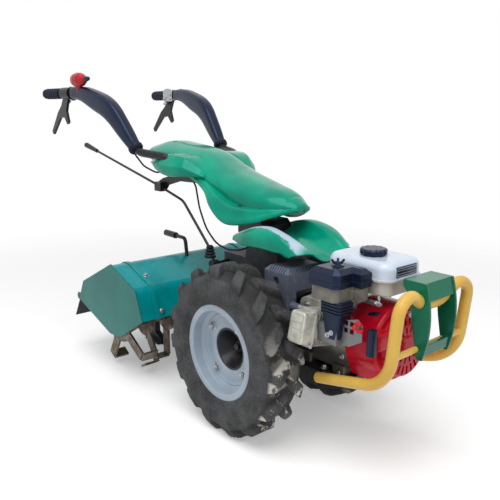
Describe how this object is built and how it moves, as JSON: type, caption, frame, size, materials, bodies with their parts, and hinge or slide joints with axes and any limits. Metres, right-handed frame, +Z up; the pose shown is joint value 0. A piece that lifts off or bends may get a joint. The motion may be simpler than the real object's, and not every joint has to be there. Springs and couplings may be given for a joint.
{
  "type": "two-wheel walking tractor with rotary tiller",
  "caption": "Walk-behind two-wheel tractor with front petrol engine, lugged tyres, shrouded handlebars, rear rotary tiller under a hood and a tube bumper in front.",
  "frame": {"origin": "on the floor, midway along the machine between the grips' ends and the front frame, on its middle plane", "axes": "+X forward to the engine's bumper, +Y to the machine's left, +Z up"},
  "size_m": [1.6868, 0.608, 1.076],
  "materials": {
    "grey_casting": "rough cast, dusty",
    "engine_casting": "as cast",
    "red_cover": "gloss paint",
    "black_plastic": "satin moulded",
    "tank_white": "gloss",
    "muffler_black": "heat-proof paint",
    "smoked_plastic": "translucent grey",
    "black_steel": "satin black paint",
    "yellow_paint": "gloss paint",
    "green_paint": "gloss paint",
    "green_plastic": "gloss",
    "rubber": "matte",
    "bright_steel": "plated",
    "red_plastic": "satin",
    "worn_steel": "worn by soil",
    "tyre": "dusty rubber",
    "rim_grey": "light grey paint"
  },
  "bodies": {
    "chassis": {"gearbox": "grey_casting", "clutch_housing": "grey_casting", "engine_crankcase": "engine_casting", "cylinder_head": "engine_casting", "rocker_cover": "engine_casting", "fan_shroud": "red_cover", "recoil_cover": "red_cover", "starter_grip": "black_plastic", "fuel_tank": "tank_white", "tank_cap": "black_plastic", "muffler": "muffler_black", "air_cleaner_cover": "black_plastic", "air_cleaner_base": "smoked_plastic", "carburettor": "bright_steel", "intake_elbow": "black_plastic", "clutch_cable": "rubber", "throttle_cable": "rubber", "engine_base": "black_steel", "bumper_tube_right": "yellow_paint", "bumper_tube_left": "yellow_paint", "bumper_crossbar": "yellow_paint", "bumper_frame": "green_paint", "hood": "green_plastic", "handlebar_column": "black_steel", "handlebar_tube_right": "black_steel", "handlebar_tube_left": "black_steel", "handle_cover_right": "black_plastic", "handle_cover_left": "black_plastic", "grip_right": "rubber", "grip_left": "rubber", "hand_lever_right": "black_steel", "hand_lever_left": "black_steel", "throttle_lever": "red_plastic", "console": "green_plastic", "gear_rod": "black_steel", "rod_guide": "black_steel", "tiller_coupling": "grey_casting", "tiller_gearcase": "grey_casting", "tiller_hood": "green_paint", "tiller_side_right": "green_paint", "tiller_side_left": "green_paint", "depth_skid": "black_steel", "depth_lever": "black_steel"},
    "wheel_right": {"tyre_right": "tyre", "rim_right": "rim_grey", "hub_right": "black_steel"},
    "wheel_left": {"tyre_left": "tyre", "rim_left": "rim_grey", "hub_left": "black_steel"},
    "rotor": {"tiller_rotor": "worn_steel"},
    "flap": {"rear_flap": "black_steel"}
  },
  "joints": [
    {"name": "wheel_right_spin", "type": "hinge", "parent": "chassis", "child": "wheel_right", "pos_m": [0.28343, -0.205, 0.255], "axis": [0, 1, 0], "continuous": true},
    {"name": "wheel_left_spin", "type": "hinge", "parent": "chassis", "child": "wheel_left", "pos_m": [0.28343, 0.205, 0.255], "axis": [0, 1, 0], "continuous": true},
    {"name": "rotor_spin", "type": "hinge", "parent": "chassis", "child": "rotor", "pos_m": [-0.29157, 0, 0.18], "axis": [0, 1, 0], "continuous": true},
    {"name": "flap_hinge", "type": "hinge", "parent": "chassis", "child": "flap", "pos_m": [-0.54457, 0, 0.24], "axis": [0, 1, 0], "range_deg": [0, 70]}
  ]
}
